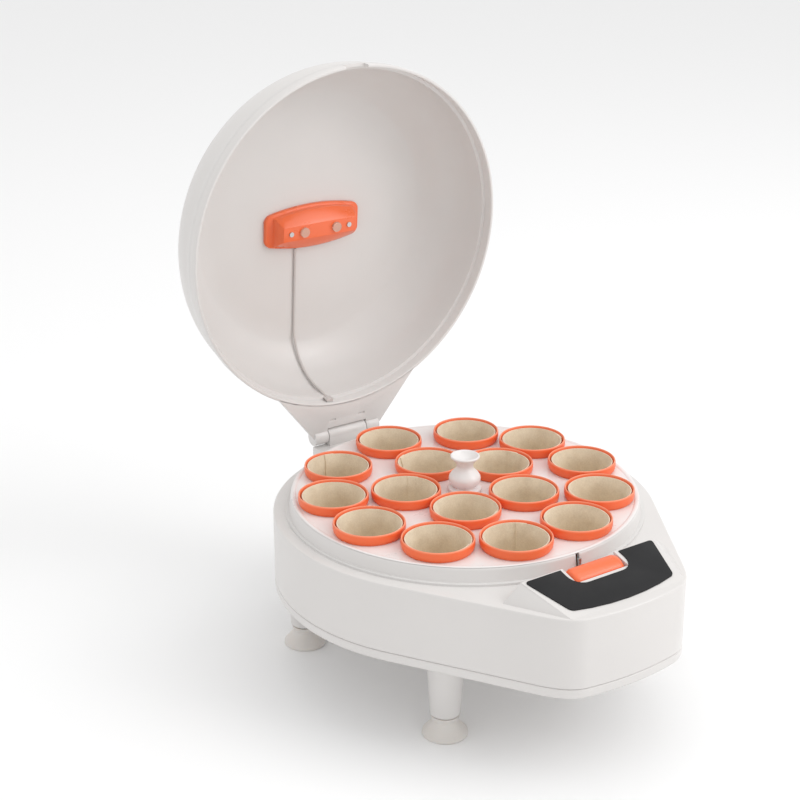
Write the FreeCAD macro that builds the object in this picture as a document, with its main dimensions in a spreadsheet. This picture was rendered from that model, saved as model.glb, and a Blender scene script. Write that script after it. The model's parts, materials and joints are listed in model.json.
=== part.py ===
import FreeCAD, Part
import Sketcher
import math
import os

doc = FreeCAD.newDocument("carousel_dryer")
sheet = doc.addObject("Spreadsheet::Sheet", "Sizes")


class Size:
    """A length, angle or count that keeps its value beside the formula that gives it."""

    def __init__(self, value, text):
        self.value = float(value)
        self.text = text

    def __add__(self, other):
        other = as_size(other)
        return Size(self.value + other.value, f"({self.text} + {other.text})")

    def __sub__(self, other):
        other = as_size(other)
        return Size(self.value - other.value, f"({self.text} - {other.text})")

    def __mul__(self, other):
        other = as_size(other)
        return Size(self.value * other.value, f"({self.text} * {other.text})")

    def __truediv__(self, other):
        other = as_size(other)
        return Size(self.value / other.value, f"({self.text} / {other.text})")

    def __neg__(self):
        return Size(-self.value, f"(0 - {self.text})")


def as_size(number):
    return number if isinstance(number, Size) else Size(number, repr(float(number)))


def cosine(angle):
    return Size(math.cos(math.radians(angle.value)), f"cos({angle.text} * 1deg)")


def sine(angle):
    return Size(math.sin(math.radians(angle.value)), f"sin({angle.text} * 1deg)")


def tangent(angle):
    return Size(math.tan(math.radians(angle.value)), f"tan({angle.text} * 1deg)")


def root(number):
    return Size(math.sqrt(number.value), f"sqrt({number.text})")


def angle_of_cosine(number):
    return Size(math.degrees(math.acos(number.value)), f"(acos({number.text}) / 1deg)")


sheet_rows = 0


def size(alias, value):
    """Write one driving dimension into the sheet and give it back as a Size."""
    global sheet_rows
    sheet_rows += 1
    sheet.set(f"A{sheet_rows}", alias)
    sheet.set(f"B{sheet_rows}", str(value))
    sheet.setAlias(f"B{sheet_rows}", alias)
    return Size(value, f"Sizes.{alias}")


# Heights above the bench, millimetres
base_height = size("base_height", 64)
pan_height = size("pan_height", 7)
wall_height = size("wall_height", 60)
drum_rise = size("drum_rise", 12)
collar_rise = size("collar_rise", 8)

# Casing outline
body_overhang = size("body_overhang", 4)
drum_radius = size("drum_radius", 130)
drum_edge = size("drum_edge", 2)
casing_wall = size("casing_wall", 2.6)
nose_length = size("nose_length", 46.2)
nose_half_width = size("nose_half_width", 53)
nose_bow = size("nose_bow", 210)
nose_corner = size("nose_corner", 14)
deck_gap = size("deck_gap", 1.8)
deck_slope = size("deck_slope", 14.5)
deck_rise = size("deck_rise", 11.2)
deck_half_width = size("deck_half_width", 59)
deck_side = size("deck_side", 15)
deck_taper = size("deck_taper", 9)
deck_ridge = size("deck_ridge", 0.6)

# Legs and suction feet
leg_side_share = size("leg_side_share", 0.5665)
leg_back_side_share = size("leg_back_side_share", 0.6504)
leg_front_share = size("leg_front_share", 0.6154)
leg_back_share = size("leg_back_share", 0.5595)
leg_top_radius = size("leg_top_radius", 14)
leg_tip_radius = size("leg_tip_radius", 11)
leg_tip_height = size("leg_tip_height", 16)
foot_radius = size("foot_radius", 16.5)
foot_neck = size("foot_neck", 9)
foot_stem = size("foot_stem", 4)
stem_length = size("stem_length", 8)
foot_rim = size("foot_rim", 2)
foot_hollow = size("foot_hollow", 4)
foot_neck_height = size("foot_neck_height", 12)
foot_flare = size("foot_flare", 14)

# Carousel plate and its cups
plate_gap = size("plate_gap", 0.8)
plate_thickness = size("plate_thickness", 3)
ring_share = size("ring_share", 0.76923)
inner_share = size("inner_share", 0.458)
rear_pitch = size("rear_pitch", 37.4)
cup_pitch = size("cup_pitch", 31.7)
inner_pitch = size("inner_pitch", 72)
collar_lip = size("collar_lip", 3.4)
cup_share = size("cup_share", 0.226)
cup_wall = size("cup_wall", 1.2)
cup_depth = size("cup_depth", 40)
cup_fit = size("cup_fit", 0.1)
liner_wall = size("liner_wall", 1)
liner_gap = size("liner_gap", 0.1)
liner_drop = size("liner_drop", 1.6)
collar_round = size("collar_round", 2)

# Lift knob and drive
knob_flare = size("knob_flare", 11)
knob_waist = size("knob_waist", 6)
knob_bulb = size("knob_bulb", 12)
knob_foot = size("knob_foot", 13)
knob_height = size("knob_height", 28)
knob_foot_height = size("knob_foot_height", 3)
knob_rim = size("knob_rim", 1.5)
pilot_height = size("pilot_height", 10)
spindle_radius = size("spindle_radius", 5)
hub_radius = size("hub_radius", 15)
hub_height = size("hub_height", 6)
spindle_fit = size("spindle_fit", 0.05)
pan_floor_rise = size("pan_floor_rise", 24)
pan_wall = size("pan_wall", 1.2)
pan_clearance = size("pan_clearance", 0.5)
heater_margin = size("heater_margin", 45)
heater_tube = size("heater_tube", 4)
motor_radius = size("motor_radius", 28)
motor_height = size("motor_height", 16)
motor_well = size("motor_well", 6)
shaft_room = size("shaft_room", 2)
pan_flange = size("pan_flange", 1.5)
seal_width = size("seal_width", 4)
seal_height = size("seal_height", 1.6)

# Lid and hinge
lid_gap = size("lid_gap", 0.6)
lid_overhang = size("lid_overhang", 9)
lid_wall = size("lid_wall", 2.4)
lid_height = size("lid_height", 64)
lid_skirt = size("lid_skirt", 18)
lid_draft = size("lid_draft", 3)
crown_inset = size("crown_inset", 35)
lid_bend = size("lid_bend", 46)
lid_open = size("lid_open", 86)
hinge_overhang = size("hinge_overhang", 22)
hinge_rise = size("hinge_rise", 4.5)
knuckle_radius = size("knuckle_radius", 6.5)
knuckle_bore = size("knuckle_bore", 2.5)
pin_fit = size("pin_fit", 0.05)
body_knuckle = size("body_knuckle", 36)
lid_knuckle = size("lid_knuckle", 12.4)
knuckle_gap = size("knuckle_gap", 0.6)
tab_root = size("tab_root", 62)
tab_tip = size("tab_tip", 31)
tab_thickness = size("tab_thickness", 5)
lug_depth = size("lug_depth", 22)
notch_width = size("notch_width", 20)
notch_height = size("notch_height", 6)

# Lamp head in the lid
lamp_length = size("lamp_length", 88)
lamp_width = size("lamp_width", 36)
lamp_end_width = size("lamp_end_width", 26)
lamp_depth = size("lamp_depth", 15)
lamp_ridge_length = size("lamp_ridge_length", 68)
lamp_ridge_width = size("lamp_ridge_width", 12)
lamp_offset = size("lamp_offset", 4)
lens_radius = size("lens_radius", 4)
lens_spacing = size("lens_spacing", 30)
screw_radius = size("screw_radius", 2)
wire_radius = size("wire_radius", 1)
wire_bend = size("wire_bend", 42)
wire_side = size("wire_side", -15)
clip_width = size("clip_width", 6)
lens_height = size("lens_height", 2)
screw_head = size("screw_head", 1)
lamp_skirt = size("lamp_skirt", 5)

# Latch and control panel
button_width = size("button_width", 44)
button_length = size("button_length", 14)
button_height = size("button_height", 12)
button_round = size("button_round", 4)
button_gap = size("button_gap", 1)
button_set = size("button_set", 14.8)
hook_thickness = size("hook_thickness", 2)
slit_width = size("slit_width", 3.4)
slit_height = size("slit_height", 20)
latch_pin_radius = size("latch_pin_radius", 1.5)
latch_pin_set = size("latch_pin_set", 4.6)
latch_pin_drop = size("latch_pin_drop", 4)
pin_length = size("pin_length", 54)
ear_width = size("ear_width", 4)
ear_depth = size("ear_depth", 8)
ear_offset = size("ear_offset", 25.2)
pocket_height = size("pocket_height", 40)
hook_clear = size("hook_clear", 0.5)
hook_drop = size("hook_drop", 3)
hook_nose = size("hook_nose", 2.5)
panel_thickness = size("panel_thickness", 0.8)
panel_top_width = size("panel_top_width", 57)
panel_foot_width = size("panel_foot_width", 45.5)
panel_start = size("panel_start", 1)
panel_bow = size("panel_bow", 190)
panel_border = size("panel_border", 3)
panel_depth = size("panel_depth", 36.5)
board_thickness = size("board_thickness", 1.6)
board_side = size("board_side", 38)
board_set = size("board_set", 37)
board_length = size("board_length", 32)
post_radius = size("post_radius", 3)
post_height = size("post_height", 5)
base_screw_radius = size("base_screw_radius", 4)
base_screw_head = size("base_screw_head", 1.2)
inlet_width = size("inlet_width", 27)
inlet_height = size("inlet_height", 20)
inlet_depth = size("inlet_depth", 15)
inlet_lip = size("inlet_lip", 1.5)
inlet_rise = size("inlet_rise", 18)

shoulder_height = base_height + wall_height
pan_floor_height = base_height + pan_floor_rise
hinge_height = shoulder_height + hinge_rise
lug_drop = shoulder_height - lug_depth
latch_pin_height = shoulder_height - latch_pin_drop
inlet_base = base_height + inlet_rise
lid_radius = drum_radius + lid_overhang
lid_crown = lid_radius - crown_inset
body_radius = lid_radius + body_overhang
hinge_reach = body_radius + hinge_overhang
deck_rear = lid_radius + deck_gap
nose_reach = deck_rear + nose_length
button_front = deck_rear + button_set
latch_pin_reach = button_front - latch_pin_set
board_front = nose_reach - board_set
board_back = board_front - board_length
outer_ring = drum_radius * ring_share
inner_ring = outer_ring * inner_share
cup_bore = outer_ring * cup_share
collar_radius = cup_bore + collar_lip
heater_ring_radius = drum_radius - heater_margin
leg_side = body_radius * leg_side_share
leg_back_side = body_radius * leg_back_side_share
leg_front = body_radius * leg_front_share
leg_back = body_radius * leg_back_share
drum_top = shoulder_height + drum_rise
plate_radius = drum_radius - casing_wall - plate_gap
collar_top = drum_top + collar_rise
lid_rim = shoulder_height + lid_gap
lid_top = lid_rim + lid_height
seam_height = base_height + pan_height
deck_top = shoulder_height + deck_rise
zero = as_size(0)

sub_parts = {}


def keep(label, obj):
    """Name an object of the document as one finished sub-part."""
    obj.Label = label
    sub_parts[label] = obj
    return obj


def bind(obj, **properties):
    """Bind properties of an object to sizes; double underscores stand for dots."""
    for name, value in properties.items():
        obj.setExpression(name.replace("__", "."), as_size(value).text)
    return obj


def arc_through(start, end, radius):
    """Circle of the short arc from start to end, turning left for a positive radius."""
    chord = (end[0] - start[0], end[1] - start[1])
    length = math.hypot(*chord)
    rise = math.sqrt(max(radius * radius - length * length / 4, 0.0))
    side = 1 if radius > 0 else -1
    centre = ((start[0] + end[0]) / 2 - side * rise * chord[1] / length,
              (start[1] + end[1]) / 2 + side * rise * chord[0] / length)
    middle = (centre[0] + side * abs(radius) * chord[1] / length,
              centre[1] - side * abs(radius) * chord[0] / length)
    points = [FreeCAD.Vector(x, y, 0) for x, y in (start, middle, end)]
    return Part.Arc(*points)


def outline(body, role, path, height=None):
    """Sketch a closed outline: each corner is (x, y), or (x, y, radius) at the end of an arc."""
    drawing = body.newObject("Sketcher::SketchObject", f"{body.Name}_outline")
    base_plane = [f for f in body.Origin.OriginFeatures if f.Role == role][0]
    drawing.AttachmentSupport = [(base_plane, "")]
    drawing.MapMode = "FlatFace"
    if height is not None:
        drawing.setExpression("AttachmentOffset.Base.z", height.text)
    corners = [tuple(as_size(number) for number in corner) for corner in path]
    count = len(corners)
    for index in range(count):
        start = (corners[index][0].value, corners[index][1].value)
        following = corners[(index + 1) % count]
        end = (following[0].value, following[1].value)
        if len(following) == 3:
            drawing.addGeometry(arc_through(start, end, following[2].value), False)
        else:
            line = Part.LineSegment(FreeCAD.Vector(*start, 0), FreeCAD.Vector(*end, 0))
            drawing.addGeometry(line, False)
    turned = [len(corners[(i + 1) % count]) == 3 and corners[(i + 1) % count][2].value < 0 for i in range(count)]
    for index in range(count):
        first = 2 if turned[index] else 1
        last = 1 if turned[index - 1] else 2
        drawing.addConstraint(Sketcher.Constraint("Coincident", index - 1 if index else count - 1, last,
                                                  index, first))
        for kind, number in zip(("DistanceX", "DistanceY"), corners[index][:2]):
            row = drawing.addConstraint(Sketcher.Constraint(kind, -1, 1, index, first, number.value))
            drawing.setExpression(f"Constraints[{row}]", number.text)
        following = corners[(index + 1) % count]
        if len(following) == 3:
            bend = following[2] if following[2].value > 0 else -following[2]
            row = drawing.addConstraint(Sketcher.Constraint("Radius", index, bend.value))
            drawing.setExpression(f"Constraints[{row}]", bend.text)
    return drawing


def turned_piece(name, path):
    """Body of revolution about Z from a half section of (radius, height) corners."""
    body = doc.addObject("PartDesign::Body", name)
    profile = outline(body, "XZ_Plane", path)
    turn = body.newObject("PartDesign::Revolution", f"{name}_turn")
    turn.Profile = profile
    turn.ReferenceAxis = (profile, ["V_Axis"])
    turn.Angle = 360
    return body


def block(name, role, path, length, height=None, both_ways=False):
    """Body padded from a closed outline on one of the base planes."""
    body = doc.addObject("PartDesign::Body", name)
    profile = outline(body, role, path, height)
    pad = body.newObject("PartDesign::Pad", f"{name}_pad")
    pad.Profile = profile
    pad.setExpression("Length", as_size(length).text)
    pad.Midplane = both_ways
    return body


def cylinder(name, radius, length, x=0, y=0, z=0, along_x=False):
    """Round bar standing on (x, y, z), or lying along X and centred on x."""
    bar = doc.addObject("Part::Cylinder", name)
    bind(bar, Radius=radius, Height=length)
    if along_x:
        bar.Placement.Rotation = FreeCAD.Rotation(FreeCAD.Vector(0, 1, 0), 90)
        x = as_size(x) - as_size(length) / 2
    return bind(bar, Placement__Base__x=x, Placement__Base__y=y, Placement__Base__z=z)


def box(name, width, depth, height, x, y, z):
    """Box centred on x, with its front at y and its underside at z."""
    piece = doc.addObject("Part::Box", name)
    bind(piece, Length=width, Width=depth, Height=height)
    return bind(piece, Placement__Base__x=as_size(x) - as_size(width) / 2, Placement__Base__y=y,
                Placement__Base__z=z)


def joined(name, pieces):
    union = doc.addObject("Part::MultiFuse", name)
    union.Shapes = pieces
    return union


def cut(name, base, tools):
    """Base less every tool."""
    result = doc.addObject("Part::Cut", name)
    result.Base = base
    result.Tool = tools[0] if len(tools) == 1 else joined(f"{name}_tools", tools)
    return result


def grouped(name, pieces):
    """Separate identical solids kept as one sub-part."""
    group = doc.addObject("Part::Compound", name)
    group.Links = pieces
    return group


def deck_height(reach):
    """Height of the sloping deck at a distance in front of the drum axis."""
    return deck_top - (reach - deck_rear - deck_ridge) * tangent(deck_slope)


def plan_path(inset):
    """Casing outline seen from above: a circle running into a blunt bowed nose."""
    radius = body_radius - inset
    half = nose_half_width - inset * 0.6
    reach = nose_reach - inset
    far = root(half * half + reach * reach)
    spread = angle_of_cosine(radius / far) - angle_of_cosine(half / far)
    side_x = radius * cosine(spread)
    side_y = radius * sine(spread)
    return [(side_x, side_y), (zero, radius, radius), (-side_x, side_y, radius), (-half, -reach),
            (half, -reach, nose_bow)]


def plan_block(name, inset, bottom, top):
    """Block with the casing's outline and rounded nose corners."""
    body = block(name, "XY_Plane", plan_path(as_size(inset)), top - bottom, bottom)
    doc.recompute()
    pad = body.Tip
    corners = []
    for number, edge in enumerate(pad.Shape.Edges, 1):
        ends = [vertex.Point for vertex in edge.Vertexes]
        upright = len(ends) == 2 and abs(ends[0].x - ends[1].x) + abs(ends[0].y - ends[1].y) < 1e-6
        if upright and ends[0].y < -nose_reach.value * 0.8:
            corners.append(f"Edge{number}")
    rounding = body.newObject("PartDesign::Fillet", f"{name}_corners")
    rounding.Base = (pad, corners)
    rounding.setExpression("Radius", (nose_corner - as_size(inset)).text)
    return body


def deck():
    """Raised panel deck: a hipped wedge that rises from the nose to a ridge just ahead of the lid."""
    body = doc.addObject("PartDesign::Body", "panel_deck")
    ridge = deck_rear + deck_ridge
    front = ridge + deck_rise / tangent(deck_slope)
    foot = deck_half_width - deck_taper
    low = shoulder_height - casing_wall / 2
    wide = deck_half_width + deck_side
    lower = outline(body, "XY_Plane", [(-wide, -deck_rear), (-foot, -front), (foot, -front), (wide, -deck_rear)],
                    shoulder_height)
    upper = outline(body, "XY_Plane", [(-deck_half_width, -deck_rear), (-deck_half_width, -ridge),
                                       (deck_half_width, -ridge), (deck_half_width, -deck_rear)], deck_top)
    loft = body.newObject("PartDesign::AdditiveLoft", "deck_loft")
    loft.Profile = lower
    loft.Sections = [upper]
    loft.Ruled = True
    root = block("deck_root", "XY_Plane", [(-wide, -deck_rear), (-foot, -front), (foot, -front), (wide, -deck_rear)],
                 shoulder_height - low, low)
    return [body, root]


def hinged(obj):
    """Swing a lid piece from its closed place to the open rest pose about the hinge pin."""
    swing = -lid_open
    obj.Placement.Rotation = FreeCAD.Rotation(FreeCAD.Vector(1, 0, 0), -1)
    obj.setExpression("Placement.Rotation.Angle", swing.text)
    base_y = hinge_reach - hinge_reach * cosine(swing) + hinge_height * sine(swing)
    base_z = hinge_height - hinge_reach * sine(swing) - hinge_height * cosine(swing)
    return bind(obj, Placement__Base__x=zero, Placement__Base__y=base_y, Placement__Base__z=base_z)


def casing():
    """Upper housing: nosed shell, sloping deck, raised drum ring, hinge lug and latch opening."""
    roof = shoulder_height - casing_wall
    outside = plan_block("casing_outer", 0, seam_height, shoulder_height)
    hollow = plan_block("casing_inner", casing_wall, seam_height - 1, roof)
    shell = cut("casing_shell", outside, [hollow])
    inner = drum_radius - casing_wall
    ring = turned_piece("drum_ring", [(inner, roof), (drum_radius, roof), (drum_radius, drum_top - drum_edge),
                                      (drum_radius - drum_edge, drum_top, drum_edge), (inner, drum_top)])
    lug_top = hinge_height - knuckle_radius - 1
    lug_width = body_knuckle + lid_knuckle * 2
    root_y = body_radius - casing_wall
    lug = box("hinge_lug", lug_width, hinge_reach + 1 - root_y, lug_top - lug_drop, 0, root_y, lug_drop)
    neck = box("hinge_neck", body_knuckle, knuckle_radius * 2, hinge_height - lug_top, 0,
               hinge_reach - knuckle_radius, lug_top)
    knuckle = cylinder("body_barrel", knuckle_radius, body_knuckle, 0, hinge_reach, hinge_height, True)
    ears = [box(f"latch_ear_{side}", ear_width, ear_depth, ear_depth, as_size(side) * ear_offset,
                -latch_pin_reach - ear_depth / 2, latch_pin_height - ear_depth / 2) for side in (-1, 1)]
    whole = joined("casing_whole", [shell, ring, lug, neck, knuckle] + deck() + ears)
    pocket_rear = button_front - button_length - button_gap
    tools = [
        cylinder("drum_bore", inner, drum_rise + casing_wall * 3, 0, 0, roof - casing_wall),
        box("latch_opening", button_width + button_gap * 2, button_length + button_gap * 2, pocket_height, 0,
            -button_front - button_gap, latch_pin_height - pocket_height / 2),
        box("hook_slit", slit_width, pocket_rear - inner + 1, slit_height, 0, -pocket_rear - 0.5,
            drum_top - slit_height),
        cylinder("hinge_bore", knuckle_bore, body_knuckle + 2, 0, hinge_reach, hinge_height, True),
        cylinder("latch_bore", latch_pin_radius, pin_length, 0, -latch_pin_reach, latch_pin_height, True),
        box("inlet_hole", inlet_width, inlet_depth, inlet_height, 0, body_radius + inlet_lip - inlet_depth,
            inlet_base)]
    keep("upper_housing", cut("upper_housing", whole, tools))


def leg_places():
    rows = ((leg_side, -leg_front), (leg_back_side, leg_back))
    return [(aside * side, reach) for aside, reach in rows for side in (-1, 1)]


def base():
    """Base pan with conical legs, its suction feet, screws, board posts and control board."""
    floor = base_height + casing_wall
    outside = plan_block("pan_outer", 0, base_height, seam_height)
    hollow = plan_block("pan_inner", casing_wall, floor, seam_height + 1)
    tray = cut("pan_tray", outside, [hollow])
    legs = []
    sockets = []
    for number, (x, y) in enumerate(leg_places(), 1):
        leg = doc.addObject("Part::Cone", f"leg_{number}")
        bind(leg, Radius1=leg_tip_radius, Radius2=leg_top_radius, Height=base_height + 1 - leg_tip_height,
             Placement__Base__x=x, Placement__Base__y=y, Placement__Base__z=leg_tip_height)
        legs.append(leg)
        sockets.append(cylinder(f"leg_socket_{number}", foot_stem, stem_length, x, y, leg_tip_height))
    posts = [cylinder(f"board_post_{number}", post_radius, post_height + 1, as_size(side) * board_side, -reach,
                      floor - 1)
             for number, (side, reach) in enumerate([(s, r) for s in (-1, 1) for r in (board_front, board_back)])]
    keep("base_pan", cut("base_pan", joined("pan_whole", [tray] + legs + posts), sockets))
    for number, (x, y) in enumerate(leg_places(), 1):
        foot = turned_piece(f"suction_foot_{number}", [
            (zero, foot_hollow), (foot_radius - foot_rim, zero), (foot_radius, zero),
            (foot_radius, foot_rim), (foot_neck, foot_neck_height, -foot_flare),
            (leg_tip_radius - 1, leg_tip_height), (foot_stem, leg_tip_height),
            (foot_stem, leg_tip_height + stem_length), (zero, leg_tip_height + stem_length)])
        keep(f"suction_foot_{number}", bind(foot, Placement__Base__x=x, Placement__Base__y=y))
    keep("control_board", box("control_board", board_side * 2 + 10, board_front - board_back + 10,
                              board_thickness, 0, -board_front - 5, floor + post_height))
    places = [(zero, -board_front), (zero, body_radius * 0.8), (body_radius * 0.8, zero),
              (-body_radius * 0.8, zero)]
    heads = [cylinder(f"base_screw_{n}", base_screw_radius, base_screw_head, x, y, base_height - base_screw_head)
             for n, (x, y) in enumerate(places, 1)]
    keep("base_screws", grouped("base_screws", heads))
    keep("power_inlet", box("power_inlet", inlet_width, inlet_depth, inlet_height, 0,
                            body_radius + inlet_lip - inlet_depth, inlet_base))


def chamber():
    """Heated chamber floor, its ring heater, the drive motor and the seal at the drum's foot."""
    floor = base_height + casing_wall
    roof = shoulder_height - casing_wall
    inner = drum_radius - casing_wall - pan_clearance
    hole = spindle_radius + shaft_room
    keep("chamber_pan", turned_piece("chamber_pan", [
        (hole, pan_floor_height), (inner, pan_floor_height), (inner, roof - pan_wall),
        (inner + pan_flange, roof - pan_wall), (inner + pan_flange, roof), (inner - pan_wall, roof),
        (inner - pan_wall, pan_floor_height + pan_wall), (hole, pan_floor_height + pan_wall)]))
    low = pan_floor_height + pan_wall
    keep("heater_ring", turned_piece("heater_ring", [
        (heater_ring_radius - heater_tube, low), (heater_ring_radius + heater_tube, low),
        (heater_ring_radius + heater_tube, low + heater_tube),
        (heater_ring_radius - heater_tube, low + heater_tube, heater_tube * 1.02)]))
    keep("drive_motor", turned_piece("drive_motor", [
        (zero, floor), (motor_radius, floor), (motor_radius, floor + motor_height),
        (spindle_radius + spindle_fit, floor + motor_height), (spindle_radius + spindle_fit, floor + motor_well),
        (zero, floor + motor_well)]))
    seal = turned_piece("seal_form", [(drum_radius, shoulder_height), (drum_radius + seal_width, shoulder_height),
                                      (drum_radius + seal_width, shoulder_height + seal_height),
                                      (drum_radius, shoulder_height + seal_height)])
    gap = box("seal_gap", slit_width, seal_width * 3, slit_height, 0, -drum_radius - seal_width * 2,
              shoulder_height - slit_height / 2)
    keep("seal_ring", cut("seal_ring", seal, [gap]))


def cup_angles():
    """Eleven outer places with a wider gap each side of the rear one, then five inner places."""
    rear = as_size(90)
    right = [rear - rear_pitch - cup_pitch * step for step in range(5)]
    left = [rear + rear_pitch + cup_pitch * step for step in range(5)]
    outer = [(outer_ring, angle) for angle in [rear] + right + left]
    return outer + [(inner_ring, rear + inner_pitch * step) for step in range(5)]


def carousel():
    """Plate with its cups and liners, the lift knob and the spindle that turns them."""
    underside = drum_top - plate_thickness
    cup_radius = cup_bore + cup_wall
    cup_floor = collar_top - cup_depth
    holes = [cylinder("spindle_hole", spindle_radius + spindle_fit, plate_thickness + 2, 0, 0, underside - 1)]
    for number, (ring, angle) in enumerate(cup_angles(), 1):
        x = ring * cosine(angle)
        y = ring * sine(angle)
        holes.append(cylinder(f"cup_hole_{number}", cup_radius + cup_fit, plate_thickness + 2, x, y,
                              underside - 1))
        cup = turned_piece(f"cup_{number}", [
            (zero, cup_floor), (cup_radius, cup_floor), (cup_radius, drum_top), (collar_radius, drum_top),
            (collar_radius, collar_top - collar_round),
            (collar_radius - collar_round, collar_top, collar_round), (cup_bore, collar_top),
            (cup_bore, cup_floor + cup_wall), (zero, cup_floor + cup_wall)])
        keep(f"cup_{number}", bind(cup, Placement__Base__x=x, Placement__Base__y=y))
        liner_radius = cup_bore - liner_gap
        low = cup_floor + cup_wall
        liner = turned_piece(f"liner_{number}", [
            (zero, low), (liner_radius, low), (liner_radius, collar_top - liner_drop),
            (liner_radius - liner_wall, collar_top - liner_drop), (liner_radius - liner_wall, low + liner_wall),
            (zero, low + liner_wall)])
        keep(f"liner_{number}", bind(liner, Placement__Base__x=x, Placement__Base__y=y))
    disc = cylinder("plate_disc", plate_radius, plate_thickness, 0, 0, underside)
    keep("carousel_plate", cut("carousel_plate", disc, holes))
    pilot = drum_top + pilot_height
    knob_top = drum_top + knob_height
    keep("lift_knob", turned_piece("lift_knob", [
        (spindle_radius, drum_top), (knob_foot, drum_top), (knob_foot, drum_top + knob_foot_height),
        (knob_waist + 2, drum_top + knob_foot_height + 1),
        (knob_bulb, drum_top + knob_height * 0.36), (knob_waist + 1, drum_top + knob_height * 0.55, knob_bulb),
        (knob_waist, drum_top + knob_height * 0.68), (knob_flare, knob_top - knob_rim, -knob_flare * 1.5),
        (knob_flare, knob_top), (knob_flare - knob_rim, knob_top), (zero, knob_top - knob_rim * 2),
        (zero, pilot), (spindle_radius, pilot)]))
    keep("spindle", turned_piece("spindle", [
        (zero, base_height + casing_wall + motor_well + shaft_room * 0.2),
        (spindle_radius, base_height + casing_wall + motor_well + shaft_room * 0.2),
        (spindle_radius, underside - hub_height), (hub_radius, underside - hub_height),
        (hub_radius, underside), (spindle_radius, underside), (spindle_radius, pilot), (zero, pilot)]))


def dish_path(inset, bottom):
    """Half section of the lid's dish: drafted skirt, deep bend and flat crown."""
    top = lid_top - inset
    return [(zero, bottom), (lid_radius - inset, bottom), (lid_radius - inset, lid_rim),
            (lid_radius - lid_draft - inset, lid_rim + lid_skirt), (lid_crown - inset, top, lid_bend), (zero, top)]


def lid():
    """Lid shell with its hinge tab and knuckles, the pin, the lamp head and its wire."""
    outer = turned_piece("dish_outer", dish_path(zero, lid_rim)[:1] + dish_path(zero, lid_rim)[2:])
    inner = turned_piece("dish_inner", dish_path(lid_wall, lid_rim - 1))
    tab = block("hinge_tab", "XY_Plane", [(-tab_root, lid_radius * 0.86), (tab_root, lid_radius * 0.86),
                                          (tab_tip, hinge_reach), (-tab_tip, hinge_reach)],
                tab_thickness, lid_rim)
    centre = (body_knuckle + lid_knuckle) / 2 + knuckle_gap
    knuckles = [cylinder(f"lid_barrel_{side}", knuckle_radius, lid_knuckle, centre * side, hinge_reach,
                         hinge_height, True) for side in (-1, 1)]
    clear = knuckle_radius + 1
    tools = [inner,
             box("barrel_gap", body_knuckle + knuckle_gap * 2, clear * 2, clear * 2, 0, hinge_reach - clear,
                 hinge_height - clear),
             cylinder("lid_bore", knuckle_bore + pin_fit, tab_root * 2, 0, hinge_reach, hinge_height, True),
             box("hook_notch", notch_width, lid_wall * 4, notch_height * 2, 0, -lid_radius - lid_wall,
                 lid_rim - notch_height)]
    keep("lid_shell", hinged(cut("lid_shell", joined("lid_whole", [outer, tab] + knuckles), tools)))
    keep("hinge_pin", cylinder("hinge_pin", knuckle_bore, body_knuckle + lid_knuckle * 2, 0, hinge_reach,
                               hinge_height, True))
    ceiling = lid_top - lid_wall
    lamp_house(ceiling)
    clip = doc.addObject("Part::MultiCommon", "wire_clip")
    clip.Shapes = [box("clip_block", clip_width, clip_width * 2, clip_width, wire_side,
                       lid_radius - clip_width, lid_rim + clip_width * 0.5), inner]
    keep("wire_clip", hinged(clip))
    wire(ceiling)


def lamp_house(ceiling):
    """Orange lamp head: a hipped loft under the crown, with two lenses and two screws."""
    body = doc.addObject("PartDesign::Body", "lamp_housing")

    def rim_path(length, width, end_width):
        shoulder = length * 0.34
        half = [(length / 2, -end_width / 2), (length / 2, end_width / 2), (shoulder, width / 2)]
        other = [(-x, -y) for x, y in half]
        return [(x, y + lamp_offset) for x, y in half + [(-shoulder, width / 2)] + other + [(shoulder, -width / 2)]]

    wide = outline(body, "XY_Plane", rim_path(lamp_length, lamp_width, lamp_end_width), ceiling)
    skirt = outline(body, "XY_Plane", rim_path(lamp_length, lamp_width, lamp_end_width),
                    ceiling - lamp_skirt)
    narrow = outline(body, "XY_Plane", rim_path(lamp_ridge_length, lamp_ridge_width, lamp_ridge_width * 0.8),
                     ceiling - lamp_depth)
    loft = body.newObject("PartDesign::AdditiveLoft", "lamp_loft")
    loft.Profile = wide
    loft.Sections = [skirt, narrow]
    loft.Ruled = True
    keep("lamp_housing", hinged(body))
    ridge = ceiling - lamp_depth
    lenses = [cylinder(f"lens_{side}", lens_radius, lens_height, lens_spacing / 2 * side, lamp_offset,
                       ridge - lens_height) for side in (-1, 1)]
    keep("lamp_lenses", hinged(grouped("lamp_lenses", lenses)))
    screws = [cylinder(f"lamp_screw_{side}", screw_radius, screw_head, lamp_ridge_length * 0.4 * side, lamp_offset,
                       ridge - screw_head) for side in (-1, 1)]
    keep("lamp_screws", hinged(grouped("lamp_screws", screws)))


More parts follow.
